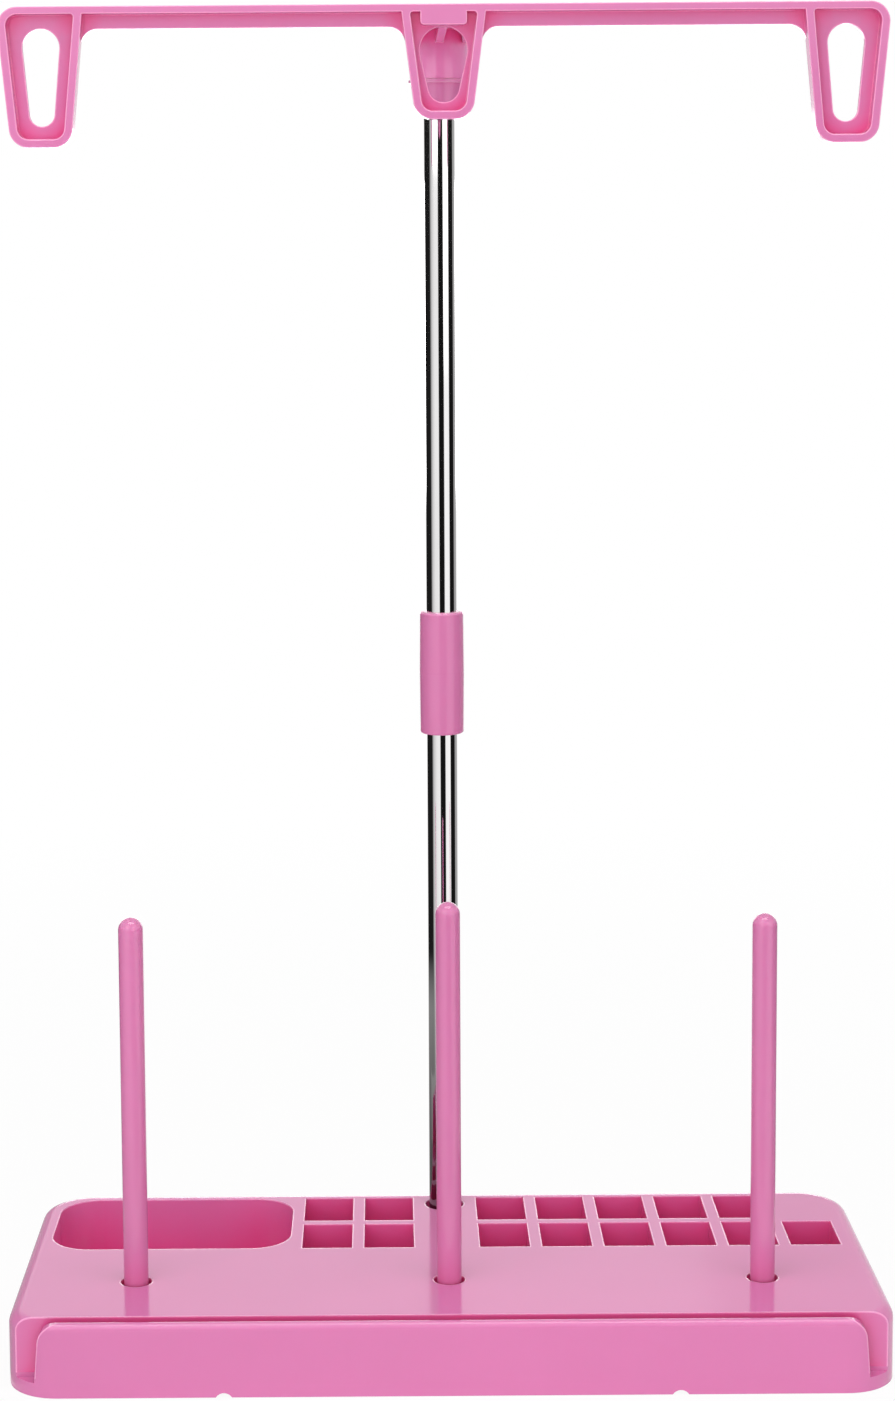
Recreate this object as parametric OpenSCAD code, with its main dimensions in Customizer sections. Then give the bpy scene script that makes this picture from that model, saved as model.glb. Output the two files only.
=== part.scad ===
// Thread rack for three cones or spools: a moulded base with a notions bin and bobbin cells,
// three lift-out spool pins, and a two-piece tube mast that carries a swivelling guide bar.
// Origin: centre of the base at table level. +X right, +Y to the back, +Z up. Millimetres.

/* [Base shell] */
// Width of the base, left to right
base_w = 320; // [310:5:380]
// Depth of the base, front to back
base_d = 140; // [130:5:170]
// Height of the top plate above the table
base_h = 27; // [24:0.5:36]
// Plan radius of the four corners
base_corner_r = 19; // [14:0.5:24]
// Radius of the rolled top edge
base_edge_r = 5; // [2:0.5:5]
// Thickness of the outer walls
base_wall = 2.4; // [1.8:0.1:3]
// Thickness of the top plate
plate_t = 2.4; // [1.8:0.1:3]
// Thickness of the stiffening ribs under the plate
rib_t = 1.8; // [1.2:0.1:2.4]
// Gap between the ribs and the table
rib_lift = 9; // [6:0.5:14]
// Height of the two shallow arched notches in the front foot
notch_h = 1.6; // [1:0.1:2.2]
// Width of a notch at the table
notch_w = 5.8; // [4.6:0.1:8]
// Distance of each notch from the middle of the base
notch_x = 81.5; // [60:0.5:110]

/* [Front trough] */
// Depth of the trough, from the front face to the edge of the top plate
trough_d = 8; // [7:0.5:10]
// Height of the sill below the trough
sill_h = 5; // [4:0.5:7]
// Thickness of the trough floor
trough_floor_t = 2; // [1.5:0.1:2.5]
// Thickness of the upright front panel
panel_t = 3; // [2.8:0.1:3.4]
// Gap between the base side and the end of the panel, at the sill
panel_end_gap = 10.7; // [8:0.1:16]
// Draft of each panel end, from the sill to the top
panel_draft = 1.7; // [0:0.1:3]
// Radius of the panel's top corners
panel_corner_r = 8; // [2:0.5:9]
// Radius of the panel's rolled top edge, on its front side
panel_top_r = 2.3; // [0.8:0.1:2.3]
// Radius of the same edge on the side of the trough
panel_inner_r = 0.4; // [0.2:0.1:0.5]

/* [Bin and cells] */
// Width of one cell
cell_w = 19.1; // [16:0.1:19.9]
// Depth of one cell, front to back
cell_d = 26.3; // [22:0.1:28]
// Web between neighbouring columns
cell_gap_x = 4.7; // [3:0.1:5.7]
// Web between the two rows
cell_gap_y = 4.1; // [3:0.1:6]
// Strip of plate left behind the cells
back_margin = 6.8; // [6.4:0.1:9]
// Clear strip of plate around the mast, between the inner columns
mast_bay_w = 25.3; // [22:0.1:30]
// Full columns left of the mast
left_columns = 2; // [1:1:2]
// Full columns right of the mast
right_columns = 5; // [1:1:5]
// Strip of plate left between the bin and the base side
bin_margin = 7.45; // [6:0.05:30]
// Corner radius of the bin
bin_corner_r = 15.4; // [6:0.1:18]
// Height of the bin and cell floors above the table
well_floor_z = 4; // [3:0.5:8]
// Thickness of the bin and cell floors
well_floor_t = 2; // [1.5:0.1:2.5]
// Thickness of the walls round the bin and cells, which hang under the plate as cups
well_wall = 1.5; // [1.2:0.1:2]

/* [Spool pins] */
// Distance of the outer pins from the base side
pin_inset = 44; // [38:1:60]
// Distance of the pin row behind the front face
pin_setback = 42.6; // [36:0.2:50]
// Diameter of a pin
pin_d = 9.1; // [8:0.1:10.5]
// Height of the outer pins above the plate
pin_h = 137.5; // [110:0.5:160]
// Extra height of the centre pin
centre_pin_extra = 5; // [0:0.5:10]
// Width of the shoulder that a pin stands on, above the spigot that plugs into the base
shoulder_w = 0.75; // [0.4:0.05:1.5]
// Wall of the sockets round the spigots and the mast
socket_wall = 2; // [1.6:0.1:2.4]
// Height of the socket floors above the table
socket_floor_z = 3; // [2:0.1:5]
// Thickness of the socket floors
socket_floor_t = 2; // [1.5:0.1:2]
// Air under a spigot
spigot_air = 0.5; // [0:0.1:2]
// Chamfer round the end of a spigot
spigot_chamfer = 0.8; // [0.4:0.1:1.5]
// Diameter of the open mouth round a pin
pin_mouth_d = 11.6; // [11.2:0.1:13]
// Depth of the mouths round the pins and the mast
mouth_depth = 3; // [2.6:0.1:5]

/* [Mast] */
// Outer diameter of the two tubes
tube_d = 12; // [10:0.1:13]
// Wall of the tubes
tube_wall = 0.8; // [0.6:0.1:1.2]
// Length of the lower tube
lower_tube_len = 238; // [180:1:280]
// Length of the upper tube
upper_tube_len = 244.5; // [180:0.5:280]
// Distance of the mast in front of the back face
mast_setback = 14.1; // [13.4:0.1:18]
// Diameter of the open mouth round the mast
mast_mouth_d = 15.3; // [14.5:0.1:17]
// Length of the coupler between the tubes
coupler_len = 48; // [36:1:60]
// Wall of the coupler at its ends
coupler_wall = 2.5; // [2:0.1:3.2]
// Draft of the coupler, from each end to the middle
coupler_draft = 0.2; // [0:0.05:0.4]
// Thickness of the stop between the tubes
coupler_stop_t = 2; // [1.5:0.1:4]
// Radius of the coupler's rounded ends
coupler_end_r = 0.9; // [0.4:0.1:1.4]

/* [Swivel] */
// Outer diameter of the arm's socket
socket_d = 22.4; // [21:0.1:26]
// Diameter of the bush inside the arm's socket
bush_d = 16; // [15:0.1:17]
// Thickness of the bush above the tube
bush_roof_t = 2; // [1.5:0.1:3]
// Air above the bush
bush_air = 0.5; // [0.3:0.1:1]
// Diameter of the bush's lip, which carries the arm
lip_d = 23.6; // [22.8:0.1:28]
// Thickness of the lip
lip_t = 1.2; // [0.8:0.1:2]
// Length of the bush inside the arm's socket
bush_len = 18.3; // [14:0.1:24]
// Length of the tapered skirt below the lip
skirt_len = 9; // [5:0.5:14]
// Diameter of the skirt at the lip
skirt_top_d = 21.3; // [19:0.1:22.4]
// Diameter of the skirt at its lower end
skirt_end_d = 17.8; // [16:0.1:19]

/* [Guide bar] */
// Width of the guide bar
bar_w = 314.8; // [290:0.2:340]
// Height of the bar between its eyelets
bar_h = 7.6; // [6.4:0.1:10]
// Thickness of the top flange
flange_t = 2.6; // [2:0.1:3.2]
// Depth of the flange and rims, front to back
rim_depth = 7.2; // [6:0.1:9]
// Thickness of the rims round the eyelets
rim_t = 2.9; // [2:0.1:3.4]
// Thickness of the back web
web_t = 2.2; // [1.6:0.1:2.6]
// Radius of the fillets between the web and the eyelets
web_fillet_r = 6; // [3:0.5:9]
// Radius of the bar's outer top corners
bar_corner_r = 7; // [4.5:0.5:9]
// Width of the end eyelets at the top
end_eye_w = 30.8; // [27:0.2:34]
// Height of the end eyelets, from the top of the bar
end_eye_h = 49.3; // [42:0.1:56]
// Side taper of the end eyelets, in mm per mm
end_eye_taper = 0.096; // [0.04:0.002:0.12]
// Radius of the thread hole's upper end in the end eyelets
end_hole_top_r = 6.6; // [5:0.1:7.4]
// Radius of the thread hole's lower end in the end eyelets
end_hole_low_r = 4.5; // [3.5:0.1:5]
// Width of the centre eyelet at the top
mid_eye_w = 30.4; // [29:0.2:34]
// Height of the centre eyelet, from the top of the bar
mid_eye_h = 40.2; // [37:0.1:46]
// Side taper of the centre eyelet, in mm per mm
mid_eye_taper = 0.127; // [0.06:0.002:0.14]
// Radius of the thread hole's upper end in the centre eyelet
mid_hole_top_r = 8.45; // [6:0.05:9]
// Radius of the thread hole's lower end in the centre eyelet
mid_hole_low_r = 5.6; // [4:0.1:6]
// Outer radius of the eyelets' lower corners
eye_corner_r = 7; // [5:0.5:8]
// Web between the flange and the top of a thread hole
hole_drop = 4.8; // [4.8:0.1:6]
// Web between an end hole and the bottom rim
end_hole_rise = 4.7; // [3:0.1:6]
// Web between the centre hole and the bottom rim
mid_hole_rise = 3.2; // [2.5:0.1:5]

/* [Guide arm] */
// Reach of the arm, from the mast to the middle of the bar
arm_reach = 83.3; // [70:0.1:96]
// Width of the arm at the bar
arm_front_w = 18; // [15:0.5:20]
// Thickness of the arm's walls
arm_wall = 2.2; // [1.6:0.1:2.6]
// Thickness of the rib along the middle of the arm
arm_rib_t = 3; // [2:0.1:4]
// Width of the tongue that plugs into the bar
tongue_w = 12; // [9:0.1:13]
// Height of the tongue
tongue_h = 4.2; // [3:0.1:4.4]
// Length of the tongue
tongue_len = 5; // [3:0.1:5.2]
// Skin between the tongue and the outside of its pocket
pocket_skin = 2.2; // [1.6:0.1:2.4]
// Corner radius of the pocket's front boss
boss_corner_r = 1.2; // [0.6:0.1:1.6]

/* [Fits] */
// Radial clearance of the parts that lift out or turn
slip_fit = 0.08; // [0.04:0.01:0.1]
// Radial interference of the pressed joints
press_fit = 0.02; // [0.01:0.01:0.04]

/* [Hidden] */
$fn = 72;
eps = 0.01;
seam = 0.01;
panel_step = 0.02;
over = 1;
front_y = -base_d/2;
back_y = base_d/2;
pin_row_y = front_y + pin_setback;
mast_y = back_y - mast_setback;
plate_z = base_h - plate_t;

cell_pitch = cell_w + cell_gap_x;
wells_d = 2*cell_d + cell_gap_y;
cup_h = plate_z + eps - well_floor_z + well_floor_t;
wells_back_y = back_y - back_margin;
wells_front_y = wells_back_y - wells_d;
bin_right_x = -mast_bay_w/2 - left_columns*cell_pitch;
bin_w = bin_right_x + base_w/2 - bin_margin;

pin_x = base_w/2 - pin_inset;
pin_xs = [-pin_x, 0, pin_x];
mouth_z = base_h - mouth_depth;
spigot_d = pin_d - 2*shoulder_w;
spigot_bore_d = spigot_d + 2*slip_fit;
notch_curve_r = (notch_h*notch_h + notch_w*notch_w/4)/(2*notch_h);

tube_r = tube_d/2;
mast_socket_d = tube_d + 2*slip_fit;
stop_z = socket_floor_z + lower_tube_len;
upper_tube_z = stop_z + coupler_stop_t;
coupler_z = stop_z + coupler_stop_t/2 - coupler_len/2;
upper_tube_top = upper_tube_z + upper_tube_len;
bush_top = upper_tube_top + bush_roof_t;
lip_top = bush_top - bush_len;
socket_roof_z = bush_top + bush_air;
bar_top = socket_roof_z + flange_t;
bar_y = mast_y - arm_reach;
bar_back_y = bar_y + rim_depth/2;
arm_len = mast_y - bar_back_y;
end_lean = sqrt(1 + end_eye_taper*end_eye_taper);
end_corner_inset = bar_corner_r*(end_eye_taper + end_lean - 1);
end_eye_x = bar_w/2 - end_eye_w/2 + end_corner_inset;
boss_w = tongue_w + 2*pocket_skin;
boss_h = bar_h - 0.4;
tongue_top = (boss_h - tongue_h)/2;
tongue_gap = 0.1;

pink = [0.87, 0.50, 0.71];
deep_pink = [0.82, 0.42, 0.64];
chrome = [0.78, 0.78, 0.80];

// Flat shapes

module rounded_rect(w, d, r) {
    square([w - 2*r, d], center = true);
    square([w, d - 2*r], center = true);
    for (sx = [-1, 1], sy = [-1, 1])
        translate([sx*(w/2 - r), sy*(d/2 - r)]) circle(r);
}

// Section of a wall with both top edges rounded, standing on the axis
module rolled_section(w, h, r) {
    translate([-w/2, 0]) square([w, h - r]);
    translate([r - w/2, 0]) square([w - 2*r, h]);
    for (s = [-1, 1])
        translate([s*(w/2 - r), h - r]) circle(r);
}

// Section of the front panel, its front side to the left
module panel_section() {
    translate([-panel_t/2, 0]) square([panel_t, base_h - panel_top_r]);
    translate([panel_top_r - panel_t/2, 0])
        square([panel_t - panel_top_r, base_h - panel_inner_r]);
    translate([panel_top_r - panel_t/2, 0])
        square([panel_t - panel_top_r - panel_inner_r, base_h]);
    translate([panel_top_r - panel_t/2, base_h - panel_top_r]) circle(panel_top_r);
    translate([panel_t/2 - panel_inner_r, base_h - panel_inner_r]) circle(panel_inner_r);
}

// Half of a tapered cup outline, hanging down from the origin. Its side line leans in by
// taper for each mm down, and runs a hair inside the tangent of its two corner arcs.
module half_cup(half_w, h, taper, low_r, top_r) {
    lean = sqrt(1 + taper*taper);
    top_x = half_w - taper*top_r - top_r*lean;
    low_x = half_w - taper*(h - low_r) - low_r*lean;
    top_reach = max(top_r - seam, 0)/lean;
    low_reach = (low_r - seam)/lean;
    polygon([
        [0, 0], [top_x, 0], [top_x + top_reach, -top_r - top_reach*taper],
        [low_x + low_reach, low_r - h - low_reach*taper], [low_x, -h], [0, -h]
    ]);
    if (top_r > 0)
        translate([top_x, -top_r]) circle(top_r);
    translate([low_x, low_r - h]) circle(low_r);
}

// Cup with its own corner radius at the top left and the top right
module cup(w, h, taper, low_r, left_r, right_r) {
    half_cup(w/2, h, taper, low_r, right_r);
    mirror([1, 0]) half_cup(w/2, h, taper, low_r, left_r);
}

// Two circles joined by lines a hair inside their tangents: the outline of a thread hole
module drop_hole(top_r, low_r, distance) {
    slant = (top_r - low_r)/distance;
    side = sqrt(1 - slant*slant);
    top_reach = top_r - seam;
    low_reach = low_r - seam;
    circle(top_r);
    translate([0, -distance]) circle(low_r);
    polygon([
        [-top_reach*side, -top_reach*slant], [top_reach*side, -top_reach*slant],
        [low_reach*side, -distance - low_reach*slant], [-low_reach*side, -distance - low_reach*slant]
    ]);
}

// Base shell

module slab_corner(h, corner, edge) {
    rotate_extrude() {
        square([corner - edge, h]);
        square([corner, h - edge]);
        translate([corner - edge, h - edge]) circle(edge);
    }
}

// Slab with round plan corners and a rolled top edge
module rolled_slab(w, d, h, corner, edge) {
    for (sx = [-1, 1], sy = [-1, 1])
        translate([sx*(w/2 - corner), sy*(d/2 - corner), 0]) slab_corner(h, corner, edge);
    rotate([90, 0, 90])
        linear_extrude(w - 2*corner, center = true) rolled_section(d, h, edge);
    rotate([90, 0, 0])
        linear_extrude(d - 2*corner, center = true) rolled_section(w, h, edge);
}

module base_outer() {
    rolled_slab(base_w, base_d, base_h, base_corner_r, base_edge_r);
}

module base_cavity() {
    translate([0, 0, -eps])
        rolled_slab(base_w - 2*base_wall, base_d - 2*base_wall, plate_z + eps,
            base_corner_r - base_wall, base_edge_r - base_wall + 0.6);
}

// Solid that the trough is cut from: its back wall and floor
module trough_liner() {
    intersection() {
        base_outer();
        translate([-base_w/2, front_y, sill_h - trough_floor_t])
            cube([base_w, trough_d + base_wall, base_h]);
    }
}

module trough_cut() {
    translate([-base_w/2 - over, front_y - over, sill_h])
        cube([base_w + 2*over, trough_d + over, base_h]);
}

// Front panel: a rolled-top strip that follows the front outline and its corners, and stands
// a hair behind the face of the sill
module front_panel() {
    corner_x = base_w/2 - base_corner_r;
    panel_h = base_h - sill_h;
    end_taper = panel_draft/panel_h;
    clip_w = base_w - 2*panel_end_gap + 2*over*end_taper;
    translate([0, panel_step, 0])
    intersection() {
        union() {
            rotate([90, 0, 90])
                linear_extrude(2*corner_x, center = true)
                    translate([front_y + panel_t/2, 0]) panel_section();
            for (side = [0, 1])
                mirror([side, 0, 0])
                    translate([corner_x, front_y + base_corner_r, 0])
                        rotate([0, 0, -90])
                            rotate_extrude(angle = 90)
                                translate([base_corner_r - panel_t/2, 0])
                                    mirror([1, 0]) panel_section();
        }
        translate([0, front_y + trough_d - over, 0])
            rotate([90, 0, 0])
                linear_extrude(trough_d)
                    translate([0, sill_h - over])
                        mirror([0, 1])
                            cup(clip_w, panel_h + over, end_taper, panel_corner_r, 0, 0);
    }
}

// Lower left corner and size of every cell, by column and row
function column_x(n) = n < 0 ? -mast_bay_w/2 + n*cell_pitch + cell_gap_x
    : mast_bay_w/2 + (n - 1)*cell_pitch;
function row_y(row) = wells_front_y + row*(cell_d + cell_gap_y);
columns = [for (n = [-left_columns:-1]) n, for (n = [1:right_columns]) n];
last_column = right_columns + 1;

module cell(n, row) {
    translate([column_x(n), row_y(row), well_floor_z]) cube([cell_w, cell_d, base_h]);
}

module cells() {
    for (n = columns, row = [0, 1]) cell(n, row);
    cell(last_column, 0);
}

module bin_outline(grow) {
    translate([bin_right_x - bin_w/2, wells_front_y + wells_d/2])
        rounded_rect(bin_w + 2*grow, wells_d + 2*grow, bin_corner_r + grow);
}

module bin() {
    translate([0, 0, well_floor_z]) linear_extrude(base_h) bin_outline(0);
}

// Outside of one cell's cup
module cell_cup(n, row) {
    translate([column_x(n) - well_wall, row_y(row) - well_wall, well_floor_z - well_floor_t])
        cube([cell_w + 2*well_wall, cell_d + 2*well_wall, cup_h]);
}

module well_cups() {
    translate([0, 0, well_floor_z - well_floor_t]) linear_extrude(cup_h) bin_outline(well_wall);
    for (n = columns, row = [0, 1]) cell_cup(n, row);
    cell_cup(last_column, 0);
}

// Socket under the plate: a tube with a floor, and a wider ring round its open mouth
module socket_boss(bore_d, mouth_d) {
    translate([0, 0, socket_floor_z - socket_floor_t])
        cylinder(h = plate_z + eps - socket_floor_z + socket_floor_t, d = bore_d + 2*socket_wall);
    translate([0, 0, mouth_z - socket_wall])
        cylinder(h = plate_z + eps - mouth_z + socket_wall, d = mouth_d + 2*socket_wall);
}

module socket_bore(bore_d, mouth_d) {
    translate([0, 0, socket_floor_z]) cylinder(h = base_h, d = bore_d);
    translate([0, 0, mouth_z]) cylinder(h = base_h, d = mouth_d);
}

// Ribs under the plate, tying the sockets to the walls and to the cups
module ribs() {
    rib_h = plate_z + eps - rib_lift;
    run_y = front_y + trough_d + base_wall - eps;
    for (x = pin_xs)
        translate([x - rib_t/2, run_y, rib_lift])
            cube([rib_t, (x == 0 ? back_y - base_wall : wells_front_y) + eps - run_y, rib_h]);
    translate([-base_w/2 + base_wall - eps, pin_row_y - rib_t/2, rib_lift])
        cube([base_w - 2*base_wall + 2*eps, rib_t, rib_h]);
    translate([-mast_bay_w/2, mast_y - rib_t/2, rib_lift]) cube([mast_bay_w, rib_t, rib_h]);
}

module foot_notches() {
    for (s = [-1, 1])
        translate([s*notch_x, front_y - over, notch_h - notch_curve_r])
            rotate([-90, 0, 0]) cylinder(h = base_wall + 2*over, r = notch_curve_r);
}

module base_shell() {
    color(pink)
    difference() {
        union() {
            difference() {
                union() {
                    difference() {
                        base_outer();
                        base_cavity();
                    }
                    trough_liner();
                }
                trough_cut();
            }
            front_panel();
            well_cups();
            ribs();
            for (x = pin_xs)
                translate([x, pin_row_y, 0]) socket_boss(spigot_bore_d, pin_mouth_d);
            translate([0, mast_y, 0]) socket_boss(mast_socket_d, mast_mouth_d);
        }
        bin();
        cells();
        for (x = pin_xs)
            translate([x, pin_row_y, 0]) socket_bore(spigot_bore_d, pin_mouth_d);
        translate([0, mast_y, 0]) socket_bore(mast_socket_d, mast_mouth_d);
        foot_notches();
    }
}

// Spool pins

// Pin with its spigot below and a domed tip h above the plate
module spool_pin(h) {
    tip_z = base_h + h;
    dome_z = tip_z - pin_d/2;
    spigot_z = socket_floor_z + spigot_air;
    rotate_extrude() {
        polygon([
            [0, spigot_z], [spigot_d/2 - spigot_chamfer, spigot_z],
            [spigot_d/2, spigot_z + spigot_chamfer], [spigot_d/2, mouth_z],
            [pin_d/2, mouth_z], [pin_d/2, dome_z], [0, dome_z]
        ]);
        intersection() {
            translate([0, dome_z]) circle(pin_d/2);
            translate([0, dome_z]) square(pin_d);
        }
    }
}

module placed_pin(x, h) {
    color(deep_pink) translate([x, pin_row_y, 0]) spool_pin(h);
}

module left_spool_pin() {
    placed_pin(-pin_x, pin_h);
}

module centre_spool_pin() {
    placed_pin(0, pin_h + centre_pin_extra);
}

module right_spool_pin() {
    placed_pin(pin_x, pin_h);
}

// Mast

module tube(z, len) {
    color(chrome)
    translate([0, mast_y, z])
        difference() {
            cylinder(h = len, r = tube_r);
            translate([0, 0, -over]) cylinder(h = len + 2*over, r = tube_r - tube_wall);
        }
}

module lower_tube() {
    tube(socket_floor_z, lower_tube_len);
}

module upper_tube() {
    tube(upper_tube_z, upper_tube_len);
}

module tube_coupler() {
    end_r = tube_r + coupler_wall;
    mid_r = end_r + coupler_draft;
    color(deep_pink)
    translate([0, mast_y, coupler_z])
        difference() {
            rotate_extrude()
                for (flip = [0, 1])
                    translate([0, flip*coupler_len])
                        mirror([0, flip]) {
                            polygon([
                                [0, coupler_end_r], [end_r, coupler_end_r],
                                [mid_r, coupler_len/2], [0, coupler_len/2]
                            ]);
                            square([end_r - coupler_end_r, coupler_len/2]);
                            translate([end_r - coupler_end_r, coupler_end_r]) circle(coupler_end_r);
                        }
            translate([0, 0, -over])
                cylinder(h = stop_z - coupler_z + over, r = tube_r - press_fit);
            translate([0, 0, upper_tube_z - coupler_z])
                cylinder(h = coupler_len, r = tube_r + slip_fit);
        }
}

module swivel_bush() {
    skirt_z = lip_top - lip_t - skirt_len;
    color(deep_pink)
    translate([0, mast_y, 0])
        difference() {
            rotate_extrude() {
                polygon([
                    [0, skirt_z], [skirt_end_d/2, skirt_z], [skirt_top_d/2, lip_top - lip_t],
                    [lip_d/2, lip_top - lip_t], [lip_d/2, lip_top], [bush_d/2, lip_top],
                    [bush_d/2, bush_top], [0, bush_top]
                ]);
            }
            translate([0, 0, skirt_z - over])
                cylinder(h = upper_tube_top - skirt_z + over, r = tube_r - press_fit);
        }
}

// Guide arm

module arm_plan(inset) {
    front = arm_front_w/2 - inset;
    rear = socket_d/2 - inset;
    polygon([[-front, inset], [front, inset], [rear, arm_len], [-rear, arm_len]]);
}

module guide_arm() {
    color(pink)
    difference() {
        union() {
            translate([0, bar_back_y, bar_top - bar_h])
                difference() {
                    linear_extrude(bar_h) arm_plan(0);
                    translate([0, 0, -over])
                        linear_extrude(bar_h - flange_t + over)
                            difference() {
                                arm_plan(arm_wall);
                                translate([-arm_rib_t/2, 0]) square([arm_rib_t, arm_len]);
                            }
                }
            translate([-tongue_w/2, bar_back_y - tongue_len, bar_top - tongue_top - tongue_h])
                cube([tongue_w, tongue_len + arm_wall, tongue_h]);
            translate([0, mast_y, lip_top]) cylinder(h = bar_top - lip_top, d = socket_d);
        }
        translate([0, mast_y, lip_top - over])
            cylinder(h = socket_roof_z - lip_top + over, r = bush_d/2 + slip_fit);
    }
}

// Guide bar, drawn in front view with the origin at the middle of its top edge

module end_eyelet_place() {
    for (s = [0, 1])
        mirror([s, 0]) translate([end_eye_x, 0]) children();
}

module eyelet_outlines() {
    cup(mid_eye_w, mid_eye_h, mid_eye_taper, eye_corner_r, 0, 0);
    end_eyelet_place() cup(end_eye_w, end_eye_h, end_eye_taper, eye_corner_r, 0, bar_corner_r);
}

module strip(h) {
    translate([-end_eye_x, -h]) square([2*end_eye_x, h]);
}

// Inside of one eyelet's rim
module eyelet_recess(w, h, taper, outer_r) {
    lean = sqrt(1 + taper*taper);
    translate([0, -flange_t])
        cup(w - 2*(flange_t*taper + rim_t*lean), h - flange_t - rim_t, taper, eye_corner_r - rim_t,
            boss_corner_r, outer_r);
}

// Fillet between the underside of the web and the outer side of an eyelet
module web_fillet(half_w, taper) {
    lean = sqrt(1 + taper*taper);
    centre_y = bar_h + web_fillet_r;
    centre_x = half_w - taper*centre_y + web_fillet_r*lean;
    difference() {
        translate([half_w/2, web_fillet_r*taper/lean - centre_y])
            square([centre_x - half_w/2, web_fillet_r*(1 - taper/lean) + seam]);
        translate([centre_x, -centre_y]) circle(web_fillet_r + seam);
    }
}

// Thread hole under the flange of an eyelet of height h
module thread_hole(h, top_r, low_r, rise) {
    translate([0, -flange_t - hole_drop - top_r])
        drop_hole(top_r, low_r, h - flange_t - hole_drop - top_r - low_r - rise - rim_t);
}

module thread_holes() {
    thread_hole(mid_eye_h, mid_hole_top_r, mid_hole_low_r, mid_hole_rise);
    end_eyelet_place() thread_hole(end_eye_h, end_hole_top_r, end_hole_low_r, end_hole_rise);
}

module boss_outline() {
    translate([0, -boss_h/2]) rounded_rect(boss_w, boss_h, boss_corner_r);
}

module guide_bar() {
    color(pink)
    translate([0, bar_back_y, bar_top])
        rotate([90, 0, 0])
            difference() {
                union() {
                    linear_extrude(web_t)
                        difference() {
                            union() {
                                strip(bar_h);
                                eyelet_outlines();
                                for (s = [0, 1])
                                    mirror([s, 0]) {
                                        web_fillet(mid_eye_w/2, mid_eye_taper);
                                        translate([end_eye_x, 0])
                                            mirror([1, 0]) web_fillet(end_eye_w/2, end_eye_taper);
                                    }
                            }
                            thread_holes();
                        }
                    linear_extrude(rim_depth)
                        difference() {
                            union() {
                                strip(flange_t);
                                eyelet_outlines();
                            }
                            eyelet_recess(mid_eye_w, mid_eye_h, mid_eye_taper, boss_corner_r);
                            end_eyelet_place()
                                eyelet_recess(end_eye_w, end_eye_h, end_eye_taper, bar_corner_r - rim_t);
                        }
                    linear_extrude(rim_depth) boss_outline();
                }
                translate([-tongue_w/2 - tongue_gap, -tongue_top - tongue_h - tongue_gap, -over])
                    cube([tongue_w + 2*tongue_gap, tongue_h + 2*tongue_gap, tongue_len + tongue_gap + over]);
            }
}

base_shell();
left_spool_pin();
centre_spool_pin();
right_spool_pin();
lower_tube();
tube_coupler();
upper_tube();
swivel_bush();
guide_arm();
guide_bar();
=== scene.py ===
import math

import bpy
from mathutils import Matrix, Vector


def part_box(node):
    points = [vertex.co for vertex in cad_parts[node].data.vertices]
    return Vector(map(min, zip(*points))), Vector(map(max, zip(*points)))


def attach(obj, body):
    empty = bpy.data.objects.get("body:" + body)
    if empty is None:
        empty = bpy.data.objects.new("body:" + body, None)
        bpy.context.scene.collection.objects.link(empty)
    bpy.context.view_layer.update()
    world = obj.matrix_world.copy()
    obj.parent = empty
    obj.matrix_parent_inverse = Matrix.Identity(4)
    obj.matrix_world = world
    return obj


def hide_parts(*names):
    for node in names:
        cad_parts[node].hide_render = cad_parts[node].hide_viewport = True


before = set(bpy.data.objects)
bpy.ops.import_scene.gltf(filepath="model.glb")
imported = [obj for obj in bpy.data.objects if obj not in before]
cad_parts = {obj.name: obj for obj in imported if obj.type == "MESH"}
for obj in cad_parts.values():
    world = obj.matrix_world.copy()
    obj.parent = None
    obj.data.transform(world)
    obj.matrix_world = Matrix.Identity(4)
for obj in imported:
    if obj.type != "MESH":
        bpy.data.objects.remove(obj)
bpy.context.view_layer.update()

MM = 0.001
WHITE = (1, 1, 1, 1)

# Sides of a pin or the coupler, and of a tube, whose reflections need more of them
ROUND_SIDES = 96
TUBE_SIDES = 128
# Edges that turn less than this are shaded smooth, in degrees
SMOOTH_ANGLE = 35

# Spool pins, in millimetres: height of the shoulder that stands on the socket, how far it stands
# out from the spigot, its chamfer, and the chamfer of the spigot's tip
SHOULDER_Z = 24.0
SHOULDER_WIDTH = 0.75
SHOULDER_CHAMFER = 0.1
SPIGOT_CHAMFER = 0.8
# Extra rings this far from the ends of a straight side keep its shading straight
PIN_SUPPORT = 0.6
# The dome ends just short of its pole, in degrees, after this many steps
DOME_END = 87
DOME_STEPS = 14

# Tubes, in millimetres: wall, and the fine chamfer round the outside of both ends
TUBE_WALL = 0.8
TUBE_LIP = 0.25

# Coupler, in millimetres: radius at the ends, in the middle and of the bore, radius of its rolled
# ends, distance of the extra rings from them, and depth and width of the parting line
COUPLER_END_RADIUS = 8.5
COUPLER_MID_RADIUS = 8.7
COUPLER_BORE = 6.06
COUPLER_ROLL = 0.9
COUPLER_SUPPORT = 0.4
PARTING_DEPTH = 0.05
PARTING_WIDTH = 0.8
# Steps of the arc of a rolled end
ROLL_STEPS = 6

# Radius of the moulded edges of the base, the guide head and the turned pieces, in millimetres
BASE_EDGE = 1.0
HEAD_EDGE = 0.7
TURNED_EDGE = 0.5
# How far away a wall still adds painted shade to a well, a corner of the guide head, or a pin's
# foot, in metres
WELL_REACH = 0.03
HEAD_REACH = 0.008
FOOT_REACH = 0.014
# Share of open surroundings up to which the plastic has its full painted shade, a deeper colour
# painted into recesses, and from which the plain one shows on the base and pins, and on the guide
# head
PAINTED_SHADE_UNTIL = 0.46
OPEN_FROM = 1.0
HEAD_OPEN_FROM = 0.84
# Bands in which an outer edge gets its painted highlight: by the cosine of its turn, and by its
# open surroundings
HIGHLIGHT_TURN = (0.9995, 0.985)
HIGHLIGHT_OPEN = (0.48, 0.66)
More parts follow.
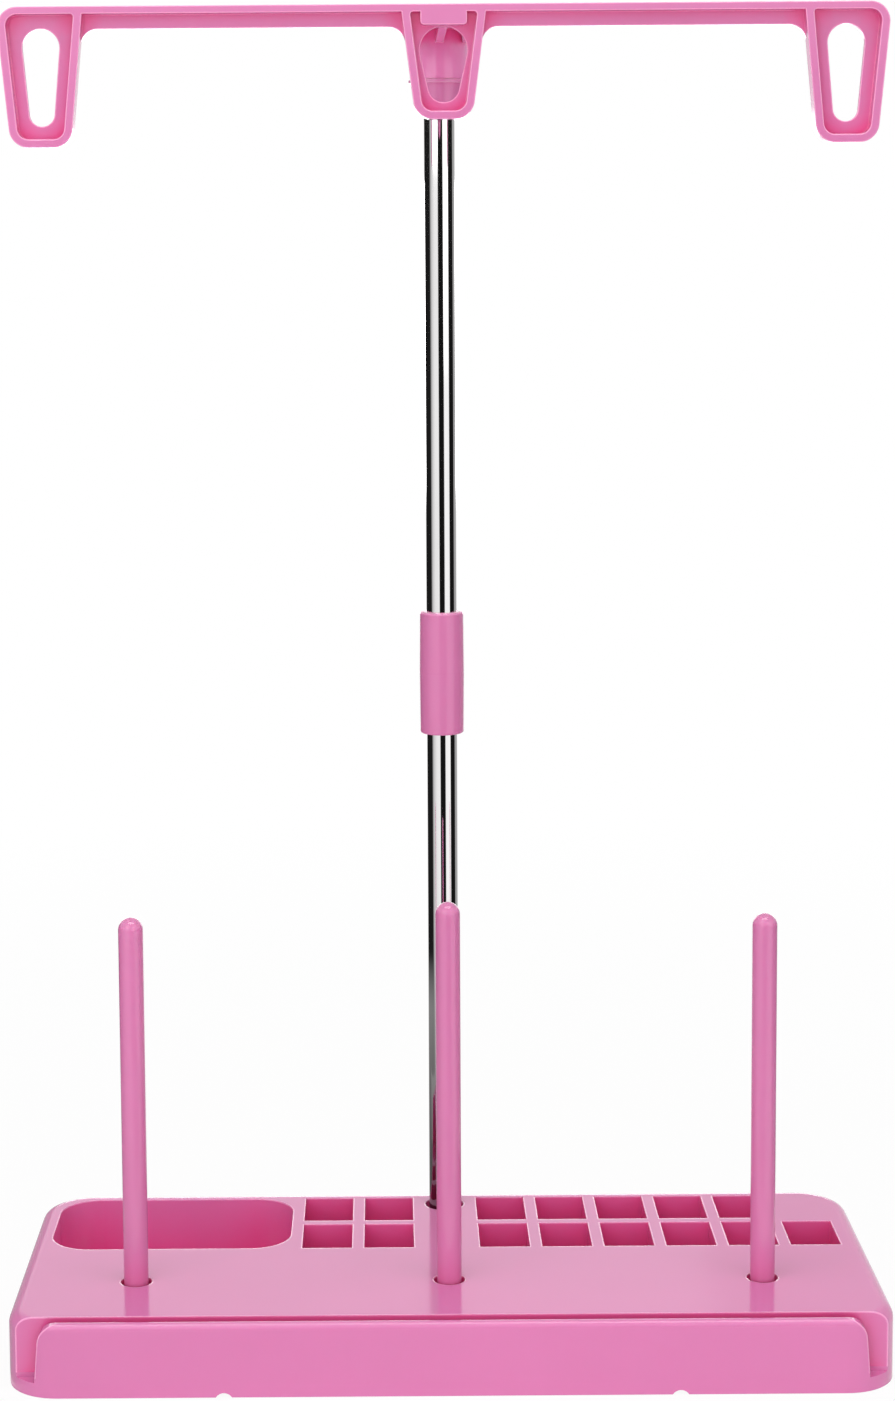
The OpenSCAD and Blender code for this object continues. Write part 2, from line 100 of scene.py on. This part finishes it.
# Back and top of the zone of the sill, each as the band in which it begins, in metres
SILL_BACK = (-0.0575, -0.0580)
SILL_TOP = (0.0068, 0.0065)
# How much the flow of the plastic darkens and lightens it, and how its roughness varies
FLOW_DARK = 0.965
FLOW_LIGHT = 1.03
GLOSS_VARIES = 0.03

# Chrome: colour of the drawn marks and between them, the painted dark reflection at the foot, and
# the heights between which that painted darkening fades, in metres
CHROME_MARKS = (0.84, 0.83, 0.83, 1.0)
CHROME_BRIGHT = (0.95, 0.94, 0.94, 1.0)
CHROME_PAINTED_DARK = (0.22, 0.20, 0.20, 1.0)
PAINTED_DARK_BAND = (0.03, 0.16)

# What polished surfaces see round the set: direction from the mast in degrees, 0 towards the
# lens and positive to the right, and how bright it is there
CARDS = [
    (-157, 1.0), (-151, 0.01), (-81, 0.012), (-75, 0.34), (-62, 0.68), (-44, 0.88), (-17, 0.92),
    (-13, 0.006), (22, 0.008), (26, 1.0), (62, 1.0), (66, 0.006), (106, 0.01), (110, 0.36),
    (144, 0.44), (152, 1.0),
]
# Depth at which the mast stands, in metres
MAST_Y = 0.0559

# Side of the floor in metres, and how pale its paper is
FLOOR_SIZE = 24
FLOOR_GREY = 0.92
# Polished surfaces see the floor white round the mast, out to the first band and back to the
# second, and see the cards in it elsewhere, no darker than the grey out to the third. The first
# and third are distances from the mast, and the second is a depth, all in metres.
WHITE_ROUND = (0.24, 0.28)
WHITE_BEHIND = (0.072, 0.080)
LIFTED_ROUND = (0.40, 0.52)
LIFTED_GREY = 0.30
# To the lens the floor is this share plain white near the mast, and all white past the band
FLOOR_GLOW = 0.93
GLOW_ROUND = (0.25, 0.9)

# Ring and boards of the set, in metres
RING_SIDES = 96
RING_RADIUS = 3
RING_HEIGHT = 0.68
BOARD_X = 0.162
BOARD_Y = 0.02
BOARD_LENGTH = 0.2
BOARD_HEIGHT = 0.033

# Light of the world on the object
WORLD_COLOUR = (1.0, 0.99, 0.98, 1.0)
WORLD_LIGHT = 0.41

# Camera: sensor and lens in millimetres, shift, place in metres and turn in degrees
SENSOR = 36.0
LENS = 71.87
SHIFT = (0.0445, -0.1074)
EYE = (-0.02191, -1.03021, 0.40436)
EYE_TURN = (84.0, 0.397, -0.0417)


# Modelling


def deselect_all():
    bpy.ops.object.select_all(action="DESELECT")


def take(piece):
    deselect_all()
    piece.hide_set(False)
    piece.select_set(True)
    bpy.context.view_layer.objects.active = piece


def settle(piece):
    """Leave the piece's place in its mesh."""
    take(piece)
    bpy.ops.object.transform_apply(location=True, rotation=True, scale=True)


def turned(name, x, y, profile, closed=False, sides=ROUND_SIDES):
    """A round upright piece, drawn ring by ring along its (radius, height) profile in mm."""
    radius, height = profile[0]
    deselect_all()
    bpy.ops.mesh.primitive_circle_add(
        vertices=sides, radius=radius * MM, location=(x, y, height * MM)
    )
    piece = bpy.context.object
    piece.name = name
    take(piece)
    bpy.ops.object.mode_set(mode="EDIT")
    bpy.ops.mesh.select_mode(type="EDGE")
    bpy.ops.mesh.select_all(action="SELECT")
    if not closed:
        bpy.ops.mesh.edge_face_add()
        bpy.ops.mesh.select_all(action="SELECT")
    for next_radius, next_height in profile[1:]:
        rise = (next_height - height) * MM
        bpy.ops.mesh.extrude_region_move(TRANSFORM_OT_translate={"value": (0, 0, rise)})
        grow = next_radius / radius
        bpy.ops.transform.resize(
            value=(grow, grow, 1), center_override=(x, y, next_height * MM)
        )
        radius, height = next_radius, next_height
    if closed:
        bpy.ops.mesh.select_all(action="DESELECT")
        bpy.ops.mesh.select_non_manifold()
        bpy.ops.mesh.bridge_edge_loops()
    bpy.ops.mesh.select_all(action="SELECT")
    bpy.ops.mesh.remove_doubles(threshold=1e-7)
    bpy.ops.mesh.normals_make_consistent(inside=False)
    bpy.ops.object.mode_set(mode="OBJECT")
    settle(piece)
    bpy.ops.object.shade_smooth_by_angle(angle=math.radians(SMOOTH_ANGLE))
    return piece


def arc(radius, centre_r, centre_z, start, end, steps):
    """Points of an arc in a profile, from start to end degrees."""
    points = []
    for k in range(steps + 1):
        a = math.radians(start + (end - start) * k / steps)
        points.append((centre_r + radius * math.cos(a), centre_z + radius * math.sin(a)))
    return points


# Nodes, each given by the output that the next one reads


def feed(tree, socket, source):
    """Link an output to the socket, or set the socket to a value."""
    if isinstance(source, bpy.types.NodeSocket):
        tree.links.new(source, socket)
    else:
        socket.default_value = source


def empty_material(name):
    material = bpy.data.materials.new(name)
    material.use_nodes = True
    tree = material.node_tree
    tree.nodes.clear()
    output = tree.nodes.new("ShaderNodeOutputMaterial")
    return material, tree, output.inputs["Surface"]


def object_place(tree):
    return tree.nodes.new("ShaderNodeTexCoord").outputs["Object"]


def split(tree, place):
    node = tree.nodes.new("ShaderNodeSeparateXYZ")
    tree.links.new(place, node.inputs["Vector"])
    return node.outputs


def surface_normal(tree):
    return tree.nodes.new("ShaderNodeNewGeometry").outputs["Normal"]


def noise(tree, place, scale, detail, stretch=None):
    node = tree.nodes.new("ShaderNodeTexNoise")
    node.inputs["Scale"].default_value = scale
    node.inputs["Detail"].default_value = detail
    if stretch:
        mapping = tree.nodes.new("ShaderNodeMapping")
        mapping.inputs["Scale"].default_value = stretch
        tree.links.new(place, mapping.inputs["Vector"])
        place = mapping.outputs["Vector"]
    tree.links.new(place, node.inputs["Vector"])
    return node.outputs["Fac"]


def ramp(tree, factor, low, high):
    """A colour ramp between two stops, each a position and a colour."""
    node = tree.nodes.new("ShaderNodeValToRGB")
    first, last = node.color_ramp.elements
    first.position, first.color = low
    last.position, last.color = high
    tree.links.new(factor, node.inputs["Fac"])
    return node.outputs["Color"]


def mapped(tree, value, band=(0.0, 1.0), result=(0.0, 1.0), curve="LINEAR"):
    """The value carried over from the ends of the band to the two results."""
    node = tree.nodes.new("ShaderNodeMapRange")
    node.interpolation_type = curve
    node.inputs["From Min"].default_value, node.inputs["From Max"].default_value = band
    node.inputs["To Min"].default_value, node.inputs["To Max"].default_value = result
    tree.links.new(value, node.inputs["Value"])
    return node.outputs["Result"]


def combined(tree, operation, first, second):
    node = tree.nodes.new("ShaderNodeMath")
    node.operation = operation
    tree.links.new(first, node.inputs[0])
    tree.links.new(second, node.inputs[1])
    return node.outputs[0]


def measured(tree, operation, *vectors):
    node = tree.nodes.new("ShaderNodeVectorMath")
    node.operation = operation
    for socket, vector in zip(node.inputs, vectors):
        tree.links.new(vector, socket)
    return node.outputs["Value"]


def mixed(tree, factor, first, second, kind="RGBA", blend="MIX"):
    node = tree.nodes.new("ShaderNodeMix")
    node.data_type = kind
    node.blend_type = blend
    feed(tree, node.inputs["Factor"], factor)
    feed(tree, node.inputs["A"], first)
    feed(tree, node.inputs["B"], second)
    return node.outputs["Result"]


def mixed_shaders(tree, factor, first, second):
    node = tree.nodes.new("ShaderNodeMixShader")
    tree.links.new(factor, node.inputs["Fac"])
    tree.links.new(first, node.inputs[1])
    tree.links.new(second, node.inputs[2])
    return node.outputs[0]


def emission(tree, colour):
    node = tree.nodes.new("ShaderNodeEmission")
    feed(tree, node.inputs["Color"], colour)
    return node.outputs[0]


def bump(tree, height, distance, strength, normal=None):
    node = tree.nodes.new("ShaderNodeBump")
    node.inputs["Strength"].default_value = strength
    node.inputs["Distance"].default_value = distance
    tree.links.new(height, node.inputs["Height"])
    if normal:
        tree.links.new(normal, node.inputs["Normal"])
    return node.outputs["Normal"]


def rounded_normal(tree, radius):
    node = tree.nodes.new("ShaderNodeBevel")
    node.samples = 6
    node.inputs["Radius"].default_value = radius * MM
    return node.outputs["Normal"]


def open_share(tree, reach, own_walls):
    """How open the surroundings are, up to the reach: 1 in the open, less between walls."""
    node = tree.nodes.new("ShaderNodeAmbientOcclusion")
    node.samples = 4
    node.only_local = own_walls
    node.inputs["Distance"].default_value = reach
    return node.outputs["AO"]


# Materials


def shade(colour, by):
    return tuple(channel * by for channel in colour) + (1.0,)


def painted_edge_highlights(tree, rounded, openness, body, painted_highlight):
    """Painted highlight: outer edges are painted paler than the walls, standing in for the light
    that rounded edges catch.
    """
    turn = measured(tree, "DOT_PRODUCT", surface_normal(tree), rounded)
    at_edge = mapped(tree, turn, HIGHLIGHT_TURN)
    outside = mapped(tree, openness, HIGHLIGHT_OPEN)
    highlighted_edge = combined(tree, "MULTIPLY", at_edge, outside)
    return mixed(tree, highlighted_edge, body, shade(painted_highlight, 1))


def sill_zone(tree, place):
    """1 on the sill and the trough's floor, whose corners stay sharp and free of painted shade
    and painted edge highlights.
    """
    at = split(tree, place)
    front = mapped(tree, at["Y"], SILL_BACK)
    low = mapped(tree, at["Z"], SILL_TOP)
    return combined(tree, "MULTIPLY", front, low)


def glossy_moulding(name, colour, painted_shade, painted_highlight, edge, gloss, reach, open_from=OPEN_FROM,
                    own_walls=True, with_sill=False):
    """Glossy moulded plastic, with painted shade: a deeper colour where walls close round it, and
    with painted highlights on its outer edges.
    """
    material, tree, surface = empty_material(name)
    shader = tree.nodes.new("ShaderNodeBsdfPrincipled")
    tree.links.new(shader.outputs["BSDF"], surface)
    place = object_place(tree)
    flow = noise(tree, place, scale=9.0, detail=3.0)
    tint = ramp(tree, flow, (0.3, shade(colour, FLOW_DARK)), (0.7, shade(colour, FLOW_LIGHT)))
    # Painted shade: the colour deepens where nearby walls close round the surface
    openness = open_share(tree, reach, own_walls)
    plain = mapped(tree, openness, (PAINTED_SHADE_UNTIL, open_from), curve="SMOOTHSTEP")
    rounded = rounded_normal(tree, edge)
    if with_sill:
        # On the sill, both the painted shade and the painted edge highlight are switched off
        sill = sill_zone(tree, place)
        plain = combined(tree, "MAXIMUM", plain, sill)
        rounded = mixed(tree, sill, rounded, surface_normal(tree), kind="VECTOR")
    body = mixed(tree, plain, shade(painted_shade, 1), tint)
    # Painted highlight: the outer edges are mixed towards a paler edge colour
    coloured = painted_edge_highlights(tree, rounded, openness, body, painted_highlight)
    tree.links.new(coloured, shader.inputs["Base Color"])
    patches = noise(tree, place, scale=55.0, detail=3.0)
    rough = mapped(tree, patches, result=(gloss - GLOSS_VARIES, gloss + GLOSS_VARIES))
    tree.links.new(rough, shader.inputs["Roughness"])
    wave = noise(tree, place, scale=28.0, detail=1.0)
    wavy = bump(tree, wave, distance=0.0002, strength=0.10, normal=rounded)
    grain = noise(tree, place, scale=1400.0, detail=2.0)
    fine = bump(tree, grain, distance=0.00001, strength=0.10, normal=wavy)
    tree.links.new(fine, shader.inputs["Normal"])
    shader.inputs["IOR"].default_value = 1.56
    shader.inputs["Subsurface Weight"].default_value = 0.15
    shader.inputs["Subsurface Radius"].default_value = (1.0, 0.25, 0.45)
    shader.inputs["Subsurface Scale"].default_value = 0.003
    return material


def polished_chrome(name):
    """Chromed tube: mirror bright, with a painted dark reflection towards its foot, and fine
    marks drawn along it.
    """
    material, tree, surface = empty_material(name)
    shader = tree.nodes.new("ShaderNodeBsdfPrincipled")
    tree.links.new(shader.outputs["BSDF"], surface)
    place = object_place(tree)
    streaks = noise(tree, place, scale=700.0, detail=3.0, stretch=(1.0, 1.0, 0.02))
    tint = ramp(tree, streaks, (0.25, CHROME_MARKS), (0.75, CHROME_BRIGHT))
    # Painted dark reflection: the chrome's colour darkens towards the foot of the lower tube,
    # near the base
    above_painted_dark = mapped(tree, split(tree, place)["Z"], PAINTED_DARK_BAND, curve="SMOOTHSTEP")
    coloured = mixed(tree, above_painted_dark, CHROME_PAINTED_DARK, tint)
    tree.links.new(coloured, shader.inputs["Base Color"])
    smears = noise(tree, place, scale=35.0, detail=3.0, stretch=(1.0, 1.0, 0.3))
    rough = mapped(tree, smears, result=(0.03, 0.08))
    tree.links.new(rough, shader.inputs["Roughness"])
    drawn = bump(tree, streaks, distance=0.00001, strength=0.008)
    tree.links.new(drawn, shader.inputs["Normal"])
    shader.inputs["Metallic"].default_value = 1.0
    return material


# Each moulding's deep colour is painted shade for its recesses, and its edge colour is a painted
# highlight for its outer edges
pink_moulding = glossy_moulding(
    "glossy_pink_moulding",
    colour=(0.69, 0.188, 0.43), painted_shade=(0.80, 0.10, 0.33), painted_highlight=(1.0, 0.42, 0.71),
    edge=BASE_EDGE, gloss=0.12, reach=WELL_REACH, with_sill=True
)
head_moulding = glossy_moulding(
    "glossy_pink_head",
    colour=(0.69, 0.21, 0.44), painted_shade=(0.80, 0.115, 0.335), painted_highlight=(1.0, 0.42, 0.69),
    edge=HEAD_EDGE, gloss=0.12, reach=HEAD_REACH, open_from=HEAD_OPEN_FROM
)
# Painted light: the arm's plastic is a lighter copy of the guide head's, so that its socket, in
# the arm's shade, looks lit
lit_arm_moulding = glossy_moulding(
    "glossy_pink_arm_lit",
    colour=(0.84, 0.245, 0.53), painted_shade=(0.88, 0.12, 0.38), painted_highlight=(1.0, 0.42, 0.69),
    edge=HEAD_EDGE, gloss=0.12, reach=HEAD_REACH, open_from=HEAD_OPEN_FROM
)
pin_moulding = glossy_moulding(
    "glossy_pink_turned",
    colour=(0.68, 0.203, 0.425), painted_shade=(0.68, 0.14, 0.345), painted_highlight=(0.85, 0.33, 0.58),
    edge=TURNED_EDGE, gloss=0.13, reach=FOOT_REACH, own_walls=False
)
chrome = polished_chrome("polished_chrome_tube")


# Mouldings of the frame


def dress(node, material):
    """A moulding whose form is right as it comes: it only gets its finish."""
    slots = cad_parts[node].data.materials
    slots.clear()
    slots.append(material)


dress("base_shell", pink_moulding)
dress("guide_bar", head_moulding)
dress("guide_arm", lit_arm_moulding)
dress("swivel_bush", pin_moulding)


# Turned pieces


def middle(node):
    low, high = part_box(node)
    return (low[0] + high[0]) / 2, (low[1] + high[1]) / 2


def span(node):
    """Bottom, top and radius of a round node, in millimetres."""
    low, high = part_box(node)
    return low[2] / MM, high[2] / MM, (high[0] - low[0]) / 2 / MM


def finish_piece(piece, body, node, material):
    piece.data.materials.clear()
    piece.data.materials.append(material)
    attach(piece, body)
    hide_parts(node)


def spool_pin(node, name, body):
    x, y = middle(node)
    bottom, top, radius = span(node)
    spigot = radius - SHOULDER_WIDTH
    dome = top - radius
    profile = [
        (spigot - SPIGOT_CHAMFER, bottom),
        (spigot, bottom + SPIGOT_CHAMFER),
        (spigot, SHOULDER_Z),
        (radius - SHOULDER_CHAMFER, SHOULDER_Z),
        (radius, SHOULDER_Z + SHOULDER_CHAMFER),
        (radius, SHOULDER_Z + PIN_SUPPORT),
        (radius, dome - PIN_SUPPORT),
    ]
    profile += arc(radius, 0, dome, 0, DOME_END, DOME_STEPS)
    piece = turned(name, x, y, profile)
    finish_piece(piece, body, node, pin_moulding)


def tube(node, name, body):
    x, y = middle(node)
    bottom, top, radius = span(node)
    inner = radius - TUBE_WALL
    profile = [
        (radius - TUBE_LIP, bottom),
        (radius, bottom + TUBE_LIP),
        (radius, top - TUBE_LIP),
        (radius - TUBE_LIP, top),
        (inner, top),
        (inner, bottom),
    ]
    piece = turned(name, x, y, profile, closed=True, sides=TUBE_SIDES)
    finish_piece(piece, body, node, chrome)


def coupler(node, name, body):
    x, y = middle(node)
    bottom, top, _ = span(node)
    mid = (bottom + top) / 2
    centre = COUPLER_END_RADIUS - COUPLER_ROLL
    low_end = bottom + COUPLER_ROLL
    high_end = top - COUPLER_ROLL
    profile = arc(COUPLER_ROLL, centre, low_end, -90, 0, ROLL_STEPS)
    profile += [
        (COUPLER_END_RADIUS, low_end + COUPLER_SUPPORT),
        (COUPLER_MID_RADIUS, mid - PARTING_WIDTH),
        (COUPLER_MID_RADIUS, mid - PARTING_WIDTH / 2),
        (COUPLER_MID_RADIUS - PARTING_DEPTH, mid),
        (COUPLER_MID_RADIUS, mid + PARTING_WIDTH / 2),
        (COUPLER_MID_RADIUS, mid + PARTING_WIDTH),
        (COUPLER_END_RADIUS, high_end - COUPLER_SUPPORT),
    ]
    profile += arc(COUPLER_ROLL, centre, high_end, 0, 90, ROLL_STEPS)
    profile += [(COUPLER_BORE, top), (COUPLER_BORE, bottom)]
    piece = turned(name, x, y, profile, closed=True)
    finish_piece(piece, body, node, pin_moulding)


for side in ("left", "centre", "right"):
    spool_pin(side + "_spool_pin", side + "_spindle", side + "_pin")
tube("lower_tube", "lower_chrome_tube", "mast_lower")
tube("upper_tube", "upper_chrome_tube", "mast_upper")
coupler("tube_coupler", "coupler_sleeve", "mast_lower")


# Studio


def seen_directly(tree):
    """1 for what the lens, polished metal or glass sees, and 0 for light on the object."""
    path = tree.nodes.new("ShaderNodeLightPath").outputs
    direct = combined(tree, "MAXIMUM", path["Is Camera Ray"], path["Is Glossy Ray"])
    return combined(tree, "MAXIMUM", direct, path["Is Transmission Ray"])


def background(tree, colour, strength):
    node = tree.nodes.new("ShaderNodeBackground")
    node.inputs["Color"].default_value = colour
    node.inputs["Strength"].default_value = strength
    return node.outputs[0]


def white_world():
    world = bpy.data.worlds.new("studio")
    world.use_nodes = True
    tree = world.node_tree
    tree.nodes.clear()
    output = tree.nodes.new("ShaderNodeOutputWorld")
    light = background(tree, WORLD_COLOUR, WORLD_LIGHT)
    white = background(tree, WHITE, 1.0)
    surface = mixed_shaders(tree, seen_directly(tree), light, white)
    tree.links.new(surface, output.inputs["Surface"])
    bpy.context.scene.world = world


def cards_round_the_set(tree):
    """Place from the mast, and the colour of the cards and walls in its direction."""
    turn = tree.nodes.new("ShaderNodeMapping")
    turn.inputs["Location"].default_value = (MAST_Y, 0, 0)
    turn.inputs["Rotation"].default_value = (0, 0, math.radians(90))
    tree.links.new(object_place(tree), turn.inputs["Vector"])
    from_mast = turn.outputs["Vector"]
    direction = tree.nodes.new("ShaderNodeTexGradient")
    direction.gradient_type = "RADIAL"
    tree.links.new(from_mast, direction.inputs["Vector"])
    cards = tree.nodes.new("ShaderNodeValToRGB")
    stops = cards.color_ramp.elements
    for stop, position in zip(stops, (0.0, 1.0)):
        stop.position, stop.color = position, WHITE
    for azimuth, grey in CARDS:
        stops.new((azimuth + 180) / 360).color = (grey, grey, grey, 1)
    tree.links.new(direction.outputs["Fac"], cards.inputs["Fac"])
    return from_mast, cards.outputs["Color"]


def add_to_set(thing, name, material):
    thing.name = name
    thing.data.materials.append(material)
    settle(thing)


def show_only_in_gloss(thing):
    thing.visible_camera = False
    thing.visible_diffuse = False
    thing.visible_shadow = False
    thing.visible_transmission = False


def pale_floor():
    """White to the lens, with the object's shadow. Polished surfaces see the cards in it."""
    material, tree, surface = empty_material("studio_white")
    from_mast, cards = cards_round_the_set(tree)
    reach = measured(tree, "LENGTH", from_mast)
    round_mast = mapped(tree, reach, WHITE_ROUND)
    behind_base = mapped(tree, split(tree, object_place(tree))["Y"], WHITE_BEHIND)
    past_white = combined(tree, "MAXIMUM", round_mast, behind_base)
    least = mapped(tree, reach, LIFTED_ROUND, result=(LIFTED_GREY, 0.0))
    lifted_cards = mixed(tree, 1.0, cards, least, blend="LIGHTEN")
    in_gloss = emission(tree, mixed(tree, past_white, WHITE, lifted_cards))
    paper = tree.nodes.new("ShaderNodeBsdfDiffuse")
    paper.inputs["Color"].default_value = (FLOOR_GREY, FLOOR_GREY, FLOOR_GREY, 1.0)
    glow = mapped(tree, reach, GLOW_ROUND, result=(FLOOR_GLOW, 1.0))
    to_lens = mixed_shaders(tree, glow, paper.outputs[0], emission(tree, WHITE))
    path = tree.nodes.new("ShaderNodeLightPath").outputs
    seen = mixed_shaders(tree, path["Is Camera Ray"], paper.outputs[0], to_lens)
    seen = mixed_shaders(tree, path["Is Glossy Ray"], seen, in_gloss)
    tree.links.new(seen, surface)
    deselect_all()
    bpy.ops.mesh.primitive_plane_add(size=FLOOR_SIZE, location=(0, 0, 0))
    add_to_set(bpy.context.object, "studio_floor", material)


def studio_ring():
    """The cards and walls round the set, seen only in polished surfaces."""
    material, tree, surface = empty_material("studio_ring")
    _, cards = cards_round_the_set(tree)
    tree.links.new(emission(tree, cards), surface)
    deselect_all()
    bpy.ops.mesh.primitive_cylinder_add(
        vertices=RING_SIDES, radius=RING_RADIUS, depth=RING_HEIGHT, end_fill_type="NOTHING",
        location=(0, 0, RING_HEIGHT / 2)
    )
    ring = bpy.context.object
    add_to_set(ring, "studio_ring", material)
    show_only_in_gloss(ring)


def side_board(name, x, grey):
    """Low pale board beside the base, seen only in its glossy side."""
    material, tree, surface = empty_material(name)
    tree.links.new(emission(tree, (grey, grey, grey, 1)), surface)
    deselect_all()
    bpy.ops.mesh.primitive_plane_add(size=1, location=(x, BOARD_Y, BOARD_HEIGHT / 2))
    board = bpy.context.object
    board.scale = (BOARD_LENGTH, BOARD_HEIGHT, 1)
    board.rotation_euler = (math.radians(90), 0, math.radians(90))
    add_to_set(board, name, material)
    show_only_in_gloss(board)


def soft_box(name, place, aim, size, power, mirrored=True):
    """Rectangular lamp that faces its aim. One that isn't mirrored shows in no gloss."""
    lamp = bpy.data.lights.new(name, "AREA")
    lamp.shape = "RECTANGLE"
    lamp.size, lamp.size_y = size
    lamp.energy = power
    box = bpy.data.objects.new(name, lamp)
    bpy.context.scene.collection.objects.link(box)
    box.location = place
    box.visible_glossy = mirrored
    x, y, z = (end - start for end, start in zip(aim, place))
    tilt = math.atan2(math.hypot(x, y), -z)
    box.rotation_euler = (tilt, 0, math.atan2(y, x) - math.pi / 2)


def camera():
    lens = bpy.data.cameras.new("photo_camera")
    lens.sensor_width = SENSOR
    lens.lens = LENS
    lens.shift_x, lens.shift_y = SHIFT
    lens.clip_start = 0.05
    lens.clip_end = 50
    eye = bpy.data.objects.new("photo_camera", lens)
    bpy.context.scene.collection.objects.link(eye)
    eye.location = EYE
    eye.rotation_euler = tuple(math.radians(turn) for turn in EYE_TURN)
    bpy.context.scene.camera = eye


white_world()
pale_floor()
studio_ring()
side_board("left_board", -BOARD_X, grey=0.5)
side_board("right_board", BOARD_X, grey=0.9)
soft_box("key", (-0.75, -1.1, 1.0), aim=(0, 0, 0.15), size=(1.2, 1.2), power=5.3)
soft_box("fill", (0.9, -1.0, 0.8), aim=(0, 0, 0.2), size=(1.1, 1.1), power=2.5)
soft_box(
    "low_front", (-0.1, -1.1, 0.2), aim=(0, 0, 0.35), size=(0.7, 0.5), power=3.1, mirrored=False
)
soft_box("overhead", (0.0, -0.25, 1.4), aim=(0, 0, 0.0), size=(1.0, 0.5), power=6.9)
soft_box("back", (-0.45, 3.2, 1.25), aim=(0, 0, 0.03), size=(1.9, 0.9), power=1.4)
soft_box(
    "back_low", (0.5, 1.5, 0.45), aim=(0, 0, 0.25), size=(0.8, 0.6), power=3.0, mirrored=False
)
soft_box("rim", (0.0, 2.5, 0.29), aim=(0, 0, 0.2), size=(3.2, 0.42), power=12)
camera()

bpy.context.scene.view_settings.view_transform = "Standard"
